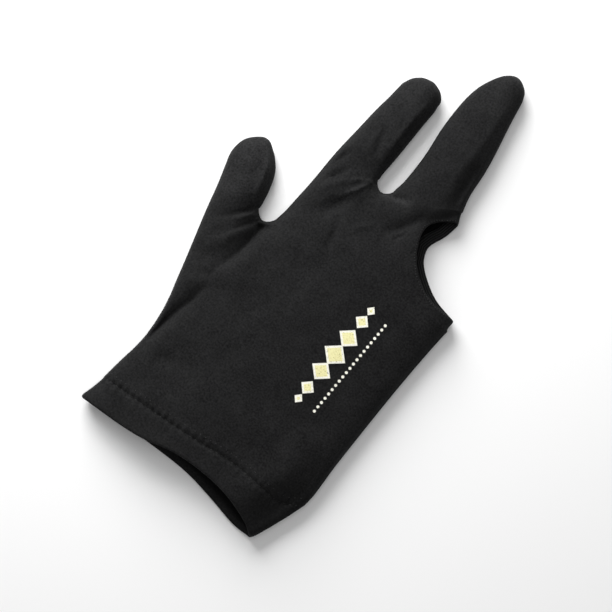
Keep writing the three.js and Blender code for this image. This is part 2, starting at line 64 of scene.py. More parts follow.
# %% Camera
VIEW_TURN = math.radians(39.8)
VIEW_HEIGHT = math.radians(84)
VIEW_CENTRE = Vector((6.9, -21.9, 4)) * MM
VIEW_WIDTH = 257.8 * MM  # what the picture's width takes in at that point
LENS = 85  # mm, before a sensor 36 mm wide
SENSOR = 36
CLIP_START = 0.01


def add_camera():
    back = Vector((
        math.sin(VIEW_TURN) * math.cos(VIEW_HEIGHT),
        -math.cos(VIEW_TURN) * math.cos(VIEW_HEIGHT),
        math.sin(VIEW_HEIGHT),
    ))
    right = Vector((math.cos(VIEW_TURN), math.sin(VIEW_TURN), 0))
    distance = VIEW_WIDTH * LENS / SENSOR
    data = bpy.data.cameras.new("camera")
    data.lens = LENS
    data.sensor_width = SENSOR
    data.clip_start = CLIP_START
    camera = bpy.data.objects.new("camera", data)
    bpy.context.collection.objects.link(camera)
    turn = Matrix((right, back.cross(right), back)).transposed().to_4x4()
    camera.matrix_world = Matrix.Translation(VIEW_CENTRE + back * distance) @ turn
    bpy.context.scene.camera = camera
    print("the camera stands", round(distance, 2), "m away")


add_camera()

# %% [markdown]
# ## Table and light
#
# Black cloth shows its folds only by the light that grazes it. So the key light is a soft box low on
# the left, and the right sides of the fingers fall into shade. A weak light from above and a pale
# world lift the rest. The table is white and lit so brightly that all of it but the soft shadows goes
# to plain white in the picture.

# %% Light
KEY_FROM = Vector((-0.48, 0.29, 0.33))
KEY_SIZE = 0.48
KEY_POWER = 8.6
TOP_FROM = Vector((0.1, 0.05, 1.1))
TOP_SIZE = 0.9
TOP_POWER = 3.7


def add_soft_box(name, place, size, power):
    data = bpy.data.lights.new(name, "AREA")
    data.shape = "SQUARE"
    data.size = size
    data.energy = power
    light = bpy.data.objects.new(name, data)
    bpy.context.collection.objects.link(light)
    light.location = place
    light.rotation_euler = (-place).to_track_quat("-Z", "Y").to_euler()


add_soft_box("key", KEY_FROM, KEY_SIZE, KEY_POWER)
add_soft_box("top", TOP_FROM, TOP_SIZE, TOP_POWER)
print("soft boxes of", KEY_POWER, "and", TOP_POWER, "watts")

# %% Table and world
TABLE_SIZE = 6
TABLE_DROP = 0.3 * MM  # the table lies this little below the glove
TABLE_WHITE = (0.86, 0.86, 0.86, 1)
TABLE_ROUGHNESS = 0.9
WORLD_WHITE = (1, 1, 1, 1)
WORLD_LIGHT = 0.23


def add_table():
    bpy.ops.object.select_all(action="DESELECT")
    bpy.ops.mesh.primitive_plane_add(size=TABLE_SIZE, location=(0, 0, -TABLE_DROP))
    table = bpy.context.object
    table.name = "table"
    material = bpy.data.materials.new("table_white")
    material.use_nodes = True
    shader = material.node_tree.nodes["Principled BSDF"]
    shader.inputs["Base Color"].default_value = TABLE_WHITE
    shader.inputs["Roughness"].default_value = TABLE_ROUGHNESS
    table.data.materials.append(material)


def add_world():
    world = bpy.data.worlds.new("studio")
    world.use_nodes = True
    background = world.node_tree.nodes["Background"]
    background.inputs["Color"].default_value = WORLD_WHITE
    background.inputs["Strength"].default_value = WORLD_LIGHT
    bpy.context.scene.world = world
    bpy.context.scene.view_settings.view_transform = "Standard"


add_table()
add_world()
print("a table", TABLE_SIZE, "m wide, and a pale world")

# %% [markdown]
# ## The cloth, as a coarse cage
#
# On the real glove two flat panels of stretch knit are cut to the shape of the hand, laid on each
# other and sewn round their edge. The solids already have that cut, one closed wall of cloth for each
# panel. So each piece starts as a copy of its solid. The copy comes as loose triangles: they are
# merged and paired to squares, because a subdivision surface comes out smoothest on squares.

# %% Merged copies of the solids
MERGE_REACH = 0.02 * MM
PAIR_ANGLE = math.radians(180)
GRID_WEIGHT = 1.5  # how much a regular grid counts when triangles are paired
RIM_ANGLE = math.radians(35)  # edges of the cloth's cut rims, which no square may cross


def select_only(piece):
    bpy.ops.object.select_all(action="DESELECT")
    piece.select_set(True)
    bpy.context.view_layer.objects.active = piece


def merged_copy(node, name):
    piece = bpy.data.objects.new(name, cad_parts[node].data.copy())
    bpy.context.collection.objects.link(piece)
    piece.data.materials.clear()
    select_only(piece)
    bpy.ops.mesh.customdata_custom_splitnormals_clear()
    bpy.ops.object.mode_set(mode="EDIT")
    bpy.ops.mesh.select_all(action="SELECT")
    bpy.ops.mesh.remove_doubles(threshold=MERGE_REACH)
    bpy.ops.mesh.select_mode(type="EDGE")
    bpy.ops.mesh.select_all(action="DESELECT")
    bpy.ops.mesh.edges_select_sharp(sharpness=RIM_ANGLE)
    bpy.ops.mesh.mark_sharp()
    bpy.ops.mesh.select_mode(type="VERT")
    bpy.ops.mesh.select_all(action="SELECT")
    bpy.ops.mesh.tris_convert_to_quads(
        face_threshold=PAIR_ANGLE,
        shape_threshold=PAIR_ANGLE,
        topology_influence=GRID_WEIGHT,
        sharp=True,
    )
    bpy.ops.mesh.mark_sharp(clear=True)
    bpy.ops.object.mode_set(mode="OBJECT")
    squares = sum(len(face.vertices) == 4 for face in piece.data.polygons)
    print(name, "has", squares, "squares and", len(piece.data.polygons) - squares, "triangles")
    return piece


back_cloth = merged_copy("back_panel", "back_cloth")
palm_cloth = merged_copy("palm_panel", "palm_cloth")
cuff_hem = merged_copy("wrist_hem", "cuff_hem")
finger_edge = merged_copy("opening_binding", "finger_opening_edge")
CLOTH_PIECES = [back_cloth, palm_cloth, cuff_hem, finger_edge]

# %% [markdown]
# ## Sewing the pieces to each other
#
# The solids stand a little apart, so that each stays a body of its own. Sewn cloth has no such gap.
# Corners of different pieces that lie that close are moved to their common middle. The edges between
# them are creased, so that the subdivision keeps the two sides of a seam in one line.

# %% Sewing
SEW_REACH = 0.4 * MM


def tree_of(places):
    tree = KDTree(len(places))
    for number, place in enumerate(places):
        tree.insert(place, number)
    tree.balance()
    return tree


def sew(pieces):
    corners = [(piece, corner) for piece in pieces for corner in piece.data.vertices]
    tree = tree_of([corner.co for _, corner in corners])
    meeting = []
    for piece, corner in corners:
        near = {piece.name: corner.co}
        for place, other, _ in tree.find_range(corner.co, SEW_REACH):
            near.setdefault(corners[other][0].name, place)
        meeting.append([Vector(place) for place in near.values()])
    seams = {piece.name: {} for piece in pieces}
    for (piece, corner), places in zip(corners, meeting):
        if len(places) > 1:
            corner.co = sum(places, Vector()) / len(places)
            seams[piece.name][corner.index] = len(places)
    return seams


sewn_corners = sew(CLOTH_PIECES)
print({name: len(corners) for name, corners in sewn_corners.items()}, "corners are sewn")

# %% [markdown]
# A creased line is smoothed along itself, and so draws in at every bend. At the narrow webs between
# the fingers that would be half a millimetre. So its corners are moved out first, until the smooth
# line passes through the places where they were.

# %% Creases that keep their line
HOLD_ROUNDS = 8


def crease_seams(piece, sewn):
    inside = {}
    for face in piece.data.polygons:
        whole = all(number in sewn for number in face.vertices)
        for key in face.edge_keys:
            inside[key] = inside.get(key, True) and whole
    crease = piece.data.attributes.new("crease_edge", "FLOAT", "EDGE")
    beside = {number: [] for number in sewn}
    for edge in piece.data.edges:
        first, second = edge.vertices
        if first in sewn and second in sewn and not inside[edge.key]:
            crease.data[edge.index].value = 1
            beside[first].append(second)
            beside[second].append(first)
    pin = piece.data.attributes.new("crease_vert", "FLOAT", "POINT")
    for number, meeting in sewn.items():
        pin.data[number].value = float(meeting > 2)
    return beside


def hold_lines(piece, beside, sewn):
    # a creased corner ends up at four sixths of itself and one sixth of each neighbour on the line
    corners = piece.data.vertices
    bends = {number: ends for number, ends in beside.items() if len(ends) == 2 and sewn[number] == 2}
    wanted = {number: corners[number].co.copy() for number in bends}
    for _ in range(HOLD_ROUNDS):
        smoothed = {
            number: (4 * corners[number].co + corners[first].co + corners[second].co) / 6
            for number, (first, second) in bends.items()
        }
        for number, place in smoothed.items():
            corners[number].co += wanted[number] - place
    return len(bends)


# %% [markdown]
# The seams of the hem and the opening are also kept as lines of places, from one end to the other. The
# hem's groove, the stitches and the ribs of the elastic are laid out from them. The palm's line comes
# first, then that of the back.

# %% Seam lines
def seam_paths(piece, beside, sewn):
    pins = [number for number in beside if sewn[number] > 2]
    paths = []
    for pin in pins:
        for number in beside[pin]:
            path = [pin, number]
            while path[-1] not in pins and len(path) < len(beside):
                path.append(next(end for end in beside[path[-1]] if end != path[-2]))
            if path[0] < path[-1]:
                paths.append([piece.data.vertices[corner].co.copy() for corner in path])
    return sorted(paths, key=lambda path: sum(place.z for place in path) / len(path))


seam_lines = {}
for piece in CLOTH_PIECES:
    sewn = sewn_corners[piece.name]
    beside = crease_seams(piece, sewn)
    seam_lines[piece.name] = seam_paths(piece, beside, sewn)
    held = hold_lines(piece, beside, sewn)
    seams = [len(path) for path in seam_lines[piece.name]]
    print(piece.name, "keeps", held, "corners in line, on seams of", seams)

# %% [markdown]
# ## Finer cloth
#
# A fold narrower than a square of the cage can't show. The hand has the longest squares, so they are
# cut once across before two steps of subdivision.

# %% Finer cloth
LONG_SIDE = 4.5 * MM
HAND_FROM = -100 * MM
HAND_TO = 10 * MM
STEPS = 2


def cut_long_squares(piece):
    select_only(piece)
    bpy.ops.object.mode_set(mode="EDIT")
    bpy.ops.mesh.select_mode(type="EDGE")
    bpy.ops.mesh.select_all(action="DESELECT")
    mesh = bmesh.from_edit_mesh(piece.data)
    for edge in mesh.edges:
        low, high = sorted((corner.co for corner in edge.verts), key=lambda place: place.y)
        rise = high.y - low.y
        on_hand = low.y > HAND_FROM and high.y < HAND_TO
        edge.select = on_hand and rise > LONG_SIDE and rise > abs(high.x - low.x)
    bmesh.update_edit_mesh(piece.data)
    bpy.ops.mesh.loop_multi_select(ring=True)
    bpy.ops.mesh.subdivide(number_cuts=1)
    bpy.ops.mesh.select_mode(type="VERT")
    bpy.ops.object.mode_set(mode="OBJECT")


def subdivide(piece):
    select_only(piece)
    modifier = piece.modifiers.new("finer", "SUBSURF")
    modifier.levels = STEPS
    modifier.render_levels = STEPS
    bpy.ops.object.modifier_apply(modifier="finer")


def corners_of(piece):
    places = np.empty(3 * len(piece.data.vertices), np.float32)
    piece.data.vertices.foreach_get("co", places)
    return places.reshape(-1, 3).astype(float)


def put_corners(piece, places):
    piece.data.vertices.foreach_set("co", places.astype(np.float32).ravel())
    piece.data.update()


for piece in CLOTH_PIECES:
    if piece in (back_cloth, palm_cloth):
        cut_long_squares(piece)
    subdivide(piece)
    print(piece.name, "has", len(piece.data.polygons), "squares now")

# %% [markdown]
# ## Folds
#
# Nothing fills the glove, so its cloth keeps the marks of how it was worn and packed: sharp pleats that
# run out from the webs between the fingers, soft dents on the hand, and a rounded ridge beside some
# seams. They are kept in a table, one fold to a row, so that each can be moved or made deeper by itself.
# A fold is a line with a rounded or a creased profile, and its two sides have widths of their own,
# because a pleat is steep on one side and runs out on the other.

# %% A fold's profile
PATH_ENDS = 0.7  # how blunt a fold's ends are: 0 is cut off, 1 is a half wave
CREASE_ROUND = 0.6  # mm, how round the line of a crease is


def reached_along(path):
    return np.concatenate([[0.0], np.cumsum(np.linalg.norm(np.diff(path, axis=0), axis=1))])


def beside_path(places, path):
    path = np.array(path, float)
    turned = -1.0 if path[-1][1] < path[0][1] else 1.0
    ways = np.diff(path, axis=0)
    lengths = np.linalg.norm(ways, axis=1)
    reached = reached_along(path)
    nearest = np.full(len(places), np.inf)
    side = np.zeros(len(places))
    share = np.zeros(len(places))
    for start, way, length, before in zip(path[:-1], ways, lengths, reached):
        along = np.clip((places - start) @ way / length**2, 0, 1)
        off = places - start - along[:, None] * way
        away = np.linalg.norm(off, axis=1)
        closer = away < nearest
        nearest[closer] = away[closer]
        cross = (way[1] * off[:, 0] - way[0] * off[:, 1]) * turned
        side[closer] = np.sign(cross[closer])
        share[closer] = ((before + along * length) / reached[-1])[closer]
    return nearest, side, share


def fold_heights(places, folds):
    heights = np.zeros(len(places))
    for fold in folds:
        away, side, share = beside_path(places, fold["path"])
        thumb_width, little_width = fold["widths"]
        width = np.where(side < 0, thumb_width, little_width)
        if fold["runs_out"] == "one end":
            ends = np.cos(np.pi / 2 * share) ** PATH_ENDS
        else:
            ends = np.sin(np.pi * share) ** PATH_ENDS
        if fold["shape"] == "creased":
            fall = (np.hypot(away, CREASE_ROUND) - CREASE_ROUND) / width
        else:
            fall = (away / width) ** 2
        heights += fold["height"] * ends * np.exp(-fall)
    return heights


# %% [markdown]
# Lengths in the tables are millimetres, seen from above. The two widths are those of the fold's thumb
# side and of its little-finger side. A valley has a negative height. A fold for which the table says
# nothing else is rounded and runs out at both ends.

# %% Folds of the back
def mark(name, height, widths, path, runs_out="both ends", shape="rounded"):
    return dict(name=name, height=height, widths=widths, path=path, runs_out=runs_out, shape=shape)


BACK_FOLDS = [
    mark(
        "sharp pleat at the thumb web", height=-1.5, widths=(1.1, 0.8), runs_out="one end", shape="creased",
        path=[(-32, -5.6), (-33.7, -10.4), (-36.1, -15.4), (-40.3, -22.6)],
    ),
    mark(
        "ridge over that pleat", height=0.8, widths=(1.2, 0.9), runs_out="one end",
        path=[(-34.6, -4.6), (-37, -9.4), (-39.8, -14.8)],
    ),
    mark(
        "deep pleat at the thumb web", height=-4.6, widths=(3.6, 2.0), runs_out="one end", shape="creased",
        path=[(-29.3, -7.6), (-28.8, -12), (-28.9, -17.8), (-29.3, -23.5), (-30.6, -29.8), (-32.8, -36)],
    ),
    mark(
        "shoulder of the thumb", height=2.0, widths=(3.4, 4.5),
        path=[(-32.2, -7), (-34.5, -15), (-36.7, -21.5), (-40.1, -28.8), (-43, -33.8)],
    ),
    mark(
        "crease across the thumb's root", height=-1.0, widths=(1.4, 1.2), runs_out="one end",
        path=[(-36.1, -5.5), (-38.6, -8.6), (-41.6, -12.6), (-45.6, -16.9)],
    ),
    mark(
        "dent under the thumb", height=-0.8, widths=(2.4, 2.4),
        path=[(-31.1, -32.8), (-32.6, -37.8), (-39.6, -42.4)],
    ),
    mark(
        "rolled edge of the thumb", height=2.0, widths=(2.4, 0.9), shape="creased",
        path=[(-51.9, 21.1), (-46.2, 18.2), (-42.4, 12.4), (-40.2, 6), (-39, 0.7), (-36.3, -4.1)],
    ),
    mark(
        "crease on the thumb side", height=-3.2, widths=(2.6, 1.2), runs_out="one end", shape="creased",
        path=[(-35.6, -73.5), (-34.4, -65.3), (-33, -57.8), (-31.2, -50.4), (-30.2, -41)],
    ),
    mark(
        "dent at the heel", height=-0.9, widths=(4.0, 4.0),
        path=[(-28, -78.8), (-19, -75.6)],
    ),
    mark(
        "upper mark on the index finger", height=-1.4, widths=(1.3, 1.3),
        path=[(-20.5, 40.7), (-23.2, 32.2)],
    ),
    mark(
        "lower mark on the index finger", height=-1.6, widths=(1.4, 1.0),
        path=[(-15.3, 33), (-18.6, 28.6), (-22.2, 22.5)],
    ),
    mark(
        "upper pull of the finger web", height=0.75, widths=(0.9, 0.9), runs_out="one end",
        path=[(-4.7, 36.2), (-9.7, 32.9), (-14.1, 28), (-19, 21.7), (-22, 17.1)],
    ),
    mark(
        "lower pull of the finger web", height=0.75, widths=(1.0, 1.0), runs_out="one end",
        path=[(-2.7, 36.4), (-5.2, 34.7), (-7.4, 29.2), (-10.7, 23.9), (-13.1, 18.6)],
    ),
    mark(
        "hollow between the knuckles", height=-1.7, widths=(3.2, 3.0),
        path=[(-6.9, 25.4), (-10.2, 19.2), (-13.2, 11.6)],
    ),
    mark(
        "pleat under the finger web", height=-2.6, widths=(1.6, 1.8), runs_out="one end", shape="creased",
        path=[(1.8, 36.2), (7.1, 37.5), (14.1, 39.5)],
    ),
    mark(
        "bow over the middle knuckle", height=0.6, widths=(0.9, 0.8),
        path=[(1.8, 13), (3.3, 17.3), (7.7, 22.3)],
    ),
    mark(
        "long soft line", height=-0.8, widths=(2.0, 1.6),
        path=[(-7.4, 19), (-3.9, 11.7), (0.4, -1.7)],
    ),
    mark(
        "pull towards the opening", height=-1.5, widths=(2.4, 1.6),
        path=[(12.3, 20.9), (16.5, 27), (19.9, 33.2), (22.7, 39)],
    ),
    mark(
        "short sharp crease", height=-1.1, widths=(0.8, 0.6), shape="creased",
        path=[(17.4, 21.4), (18.7, 24.4), (20.2, 27.7)],
    ),
    mark(
        "fine line beside the opening", height=-0.35, widths=(0.8, 0.7),
        path=[(23.6, 21), (28.3, 16.4), (32, 12.7), (35.4, 9.5)],
    ),
    mark(
        "hollow along the index finger", height=-1.0, widths=(1.8, 1.6),
        path=[(-15.3, 57.5), (-12.8, 50.1), (-10.5, 44)],
    ),
    mark(
        "rolled edge of the index finger", height=1.5, widths=(2.8, 0.9), shape="creased",
        path=[(-7.9, 78.6), (-8.4, 69.5), (-8.1, 59.6), (-7.7, 51.2), (-6.8, 44)],
    ),
    mark(
        "rolled edge of the middle finger", height=0.9, widths=(2.8, 1.5),
        path=[(18.6, 99.5), (20, 90.2), (21, 80.2), (21.5, 68.2), (22.6, 57.6)],
    ),
    mark(
        "shaded bay beside the middle finger's root", height=-2.0, widths=(3.0, 2.2),
        path=[(25, 72), (26.4, 62), (27.6, 52), (29, 46)],
    ),
    mark(
        "soft dip on the middle finger", height=-0.4, widths=(3.0, 2.4),
        path=[(10, 60), (20, 66)],
    ),
    mark(
        "fall at the top of the opening", height=-1.6, widths=(2.4, 2.4),
        path=[(22.5, 35.5), (24.7, 38.5), (27.8, 42.8), (30.9, 47), (33.5, 50.5)],
    ),
    mark(
        "soft dip on the back", height=-0.8, widths=(4.5, 4.5),
        path=[(-25.2, -11.9), (-16, -30), (-6, -48)],
    ),
    mark(
        "soft swell by the cuff", height=0.6, widths=(6.0, 6.0),
        path=[(-12, -84), (14, -78), (34, -70)],
    ),
    mark(
        "fall of the little-finger corner", height=-1.0, widths=(6.0, 2.5),
        path=[(42, -120.5), (46, -109.6), (55.5, -84.6), (53.1, -66)],
    ),
    mark(
        "swell beside that corner", height=2.2, widths=(9.0, 6.0),
        path=[(33.5, -115), (36.6, -106), (46.1, -81), (43.5, -60)],
    ),
    mark(
        "seam seen along the middle finger", height=0.7, widths=(0.6, 0.6),
        path=[(23.7, 92.9), (26.1, 80.4), (28.2, 63.9), (30.2, 54.6)],
    ),
]

# %% Folds of the palm
PALM_FOLDS = [
    mark(
        "pleat under the thumb", height=1.1, widths=(1.8, 2.6), runs_out="one end",
        path=[(-33, -7), (-36.5, -18), (-41, -30)],
    ),
    mark(
        "pleat under the index finger", height=0.7, widths=(1.6, 1.6),
        path=[(-22, 22), (-12, 26), (-4, 34)],
    ),
    mark(
        "line across the palm", height=0.6, widths=(1.5, 2.2),
        path=[(-24, -4), (-2, 6), (24, 10)],
    ),
    mark(
        "line at the heel", height=0.7, widths=(2.0, 2.0),
        path=[(-22, -66), (2, -56), (26, -64)],
    ),
]
print(len(BACK_FOLDS), "folds in the back and", len(PALM_FOLDS), "in the palm")
print("deepest:", min(BACK_FOLDS, key=lambda fold: fold["height"])["name"])

# %% [markdown]
# The table holds what can be named. All the rest, the faint unevenness of cloth that has been handled,
# comes from noise at two scales. Along the hem the thread draws the cloth down to a groove, with a
# small pucker at every stitch or two.

# %% Unevenness and the hem's groove
SOFT_SIZE = 17.0  # mm
SOFT_HEIGHT = 0.42
SOFT_SEED = 1.0
FINE_SIZE = 5.5
FINE_HEIGHT = 0.13
FINE_SEED = 4.0
HEM_GROOVE = 0.7
HEM_GROOVE_WIDTH = 0.9
PUCKER_LENGTH = 3.4
PUCKER_HEIGHT = 0.26
PUCKER_REACH = 2.8
PUCKER_DRIFT = 2.5  # how far noise moves the puckers out of step
PUCKER_SEED = 9.0


def uneven(places, size, seed):
    return np.array([noise.noise(Vector((x / size, y / size, seed))) for x, y in places])


def hem_heights(places, path):
    away, _, share = beside_path(places, path)
    turns = 2 * np.pi * share * reached_along(path)[-1] / PUCKER_LENGTH
    pucker = np.sin(turns + PUCKER_DRIFT * uneven(places, SOFT_SIZE, PUCKER_SEED))
    return (
        -HEM_GROOVE * np.exp(-((away / HEM_GROOVE_WIDTH) ** 2))
        + PUCKER_HEIGHT * pucker * np.exp(-((away / PUCKER_REACH) ** 2))
    )


# %% [markdown]
# Every corner of the cloth is then moved up or down. The cloth is held at the side seam, so folds fade
# out there. What lies above the seam follows the table of the back, all else that of the palm, and
# there nothing moves down, because the glove lies on the table.

# %% Folding the cloth
HELD_WIDTH = 1.6  # mm from the side seam over which folds fade in
SEAM_LEVEL = 4.0  # mm, the side seam's height
LEVEL_REACH = 0.02


def in_plan(path):
    return [(place.x / MM, place.y / MM) for place in path]


def side_seam_tree(pieces):
    corners = np.concatenate([corners_of(piece) for piece in pieces])
    at_seam = np.abs(corners[:, 2] / MM - SEAM_LEVEL) < LEVEL_REACH
    return tree_of([(x, y, 0) for x, y, _ in corners[at_seam]])


def fold_cloth(piece, seam_tree, hem_under, hem_over):
    corners = corners_of(piece)
    places = corners[:, :2] / MM
    away = np.array([seam_tree.find((x, y, 0))[2] for x, y, _ in corners]) / MM
    free = 1 - np.exp(-((away / HELD_WIDTH) ** 2))
    soft = SOFT_HEIGHT * uneven(places, SOFT_SIZE, SOFT_SEED)
    soft += FINE_HEIGHT * uneven(places, FINE_SIZE, FINE_SEED)
    over = fold_heights(places, BACK_FOLDS) + soft + hem_heights(places, hem_over)
    under = fold_heights(places, PALM_FOLDS) + np.abs(soft) - hem_heights(places, hem_under)
    is_over = corners[:, 2] / MM > SEAM_LEVEL
    moved = np.where(is_over, over, np.maximum(under, 0)) * free
    corners[:, 2] += moved * MM
    put_corners(piece, corners)
    return moved.min(), moved.max()


hem_under, hem_over = (in_plan(path) for path in seam_lines["cuff_hem"])
edge_under, edge_over = (in_plan(path) for path in seam_lines["finger_opening_edge"])
seam_tree = side_seam_tree(CLOTH_PIECES)
for piece in CLOTH_PIECES:
    deepest, highest = fold_cloth(piece, seam_tree, hem_under, hem_over)
    print(piece.name, "moves by", round(deepest, 2), "to", round(highest, 2), "mm")

# %% [markdown]
# ## Knit
#
# The cloth is a matte black stretch knit, brushed a little, so it shines only faintly and greys at
# its edges. Its loops stand in upright rows half a millimetre apart. A photograph of the weave would
# need an image file. Instead the loops come from two crossed waves in a bump, over noise for the
# fuzz and for the clouds of slightly greyer cloth. Object coordinates keep the weave at its true size.

# %% Nodes for cloth
SHEEN_ROUGHNESS = 0.5


def add_node(tree, kind, settings=None, **inputs):
    node = tree.nodes.new(kind)
    for name, value in (settings or {}).items():
        setattr(node, name, value)
    for name, value in inputs.items():
        node.inputs[name.replace("_", " ")].default_value = value
    return node


def new_finish(name, roughness, specular, sheen):
    material = bpy.data.materials.new(name)
    material.use_nodes = True
    shader = material.node_tree.nodes["Principled BSDF"]
    shader.inputs["Roughness"].default_value = roughness
    shader.inputs["Specular IOR Level"].default_value = specular
    shader.inputs["Sheen Weight"].default_value = sheen
    shader.inputs["Sheen Roughness"].default_value = SHEEN_ROUGHNESS
    return material, material.node_tree, shader


def millimetres(tree):
    place = add_node(tree, "ShaderNodeTexCoord")
    scale = add_node(tree, "ShaderNodeMapping", Scale=(1 / MM, 1 / MM, 1 / MM))
    tree.links.new(place.outputs["Object"], scale.inputs["Vector"])
    return scale.outputs["Vector"]


# %% Waves, noise and sums
WAVE_PITCH = math.pi / 10  # one band of the wave texture at scale 1
WAVE_DISTORTION = 0.8


def bands(tree, vector, direction, pitch):
    wave = add_node(
        tree, "ShaderNodeTexWave", {"bands_direction": direction},
        Scale=WAVE_PITCH / pitch, Distortion=WAVE_DISTORTION, Detail=1.0, Detail_Scale=1.0,
    )
    tree.links.new(vector, wave.inputs["Vector"])
    return wave.outputs["Fac"]


def speckle(tree, vector, size, detail):
    cloud = add_node(tree, "ShaderNodeTexNoise", Scale=1 / size, Detail=detail)
    tree.links.new(vector, cloud.inputs["Vector"])
    return cloud.outputs["Fac"]


def combined(tree, operation, first, second):
    node = add_node(tree, "ShaderNodeMath", {"operation": operation})
    for socket, value in zip(node.inputs, (first, second)):
        if isinstance(value, (int, float)):
            socket.default_value = value
        else:
            tree.links.new(value, socket)
    return node.outputs[0]


# %% Bumps and colours
def raised(tree, height, depth, strength, under=None):
    bump = add_node(tree, "ShaderNodeBump", Strength=strength, Distance=depth * MM)
    tree.links.new(height, bump.inputs["Height"])
    if under:
        tree.links.new(under, bump.inputs["Normal"])
    return bump.outputs["Normal"]


def toned(tree, factor, stops):
    ramp = add_node(tree, "ShaderNodeValToRGB")
    elements = ramp.color_ramp.elements
    while len(elements) < len(stops):
        elements.new(0.5)
    for element, (position, colour) in zip(elements, stops):
        element.position = position
        element.color = (*colour, 1)
    tree.links.new(factor, ramp.inputs["Fac"])
    return ramp.outputs["Color"]


# %% [markdown]
# One function makes all three knits: that of the glove, the slightly smoother one of the hem, and the
# wrong side, which shows in the hollow and is darker partly as painted shade. Its colour is multiplied
# by painted light and shade that the mesh can carry.

# %% Black knit
WALE = 0.5  # mm between the upright rows of loops
COURSE = 0.38
FUZZ = 0.8
FUZZ_SHARE = 0.75  # of the colour's unevenness, the rest is clouds
CLOUD = 9.0
CRUMPLE = 3.2
SHEEN_SHARE = 0.2  # of the specular level
KNIT_DARK = (0.003, 0.003, 0.0032)
KNIT_LIGHT = (0.0162, 0.0162, 0.0165)
# the inside's knit: unbrushed, and darker partly as painted shade for the hollow
UNBRUSHED_SHADED_DARK = (0.001, 0.001, 0.001)
UNBRUSHED_SHADED_LIGHT = (0.005, 0.005, 0.0052)


def knit_loops(tree, vector):
    return combined(tree, "MULTIPLY", bands(tree, vector, "X", WALE), bands(tree, vector, "Y", COURSE))


def knit(name, roughness=0.9, dark=KNIT_DARK, light=KNIT_LIGHT, specular=0.1):
    material, tree, shader = new_finish(name, roughness, specular, sheen=SHEEN_SHARE * specular)
    vector = millimetres(tree)
    loops = knit_loops(tree, vector)
    fuzz = speckle(tree, vector, FUZZ, detail=3)
    cloud = speckle(tree, vector, CLOUD, detail=3)
    fuzz_part = combined(tree, "MULTIPLY", fuzz, FUZZ_SHARE)
    cloud_part = combined(tree, "MULTIPLY", cloud, 1 - FUZZ_SHARE)
    shade = combined(tree, "ADD", fuzz_part, cloud_part)
    colour = toned(tree, shade, [(0.3, dark), (0.7, light)])
    # painted light and shade, stored on the mesh, scales the knit's colour
    tone = add_node(tree, "ShaderNodeAttribute", {"attribute_name": "tone"})
    painted_light_colour = add_node(tree, "ShaderNodeVectorMath", {"operation": "SCALE"})
    tree.links.new(colour, painted_light_colour.inputs["Vector"])
    tree.links.new(combined(tree, "ADD", tone.outputs["Fac"], 1), painted_light_colour.inputs["Scale"])
    tree.links.new(painted_light_colour.outputs["Vector"], shader.inputs["Base Color"])
    normal = raised(tree, loops, depth=0.08, strength=0.5)
    normal = raised(tree, fuzz, depth=0.2, strength=0.6, under=normal)
    normal = raised(tree, speckle(tree, vector, CRUMPLE, detail=2), depth=0.25, strength=0.4, under=normal)
    tree.links.new(normal, shader.inputs["Normal"])
    return material


glove_knit = knit("glove_knit")
hem_knit = knit("hem_knit", roughness=0.88)
unbrushed_shaded_knit = knit("wrong_side_knit", dark=UNBRUSHED_SHADED_DARK, light=UNBRUSHED_SHADED_LIGHT, specular=0.02)
print("three knits with loops", WALE, "by", COURSE, "mm")
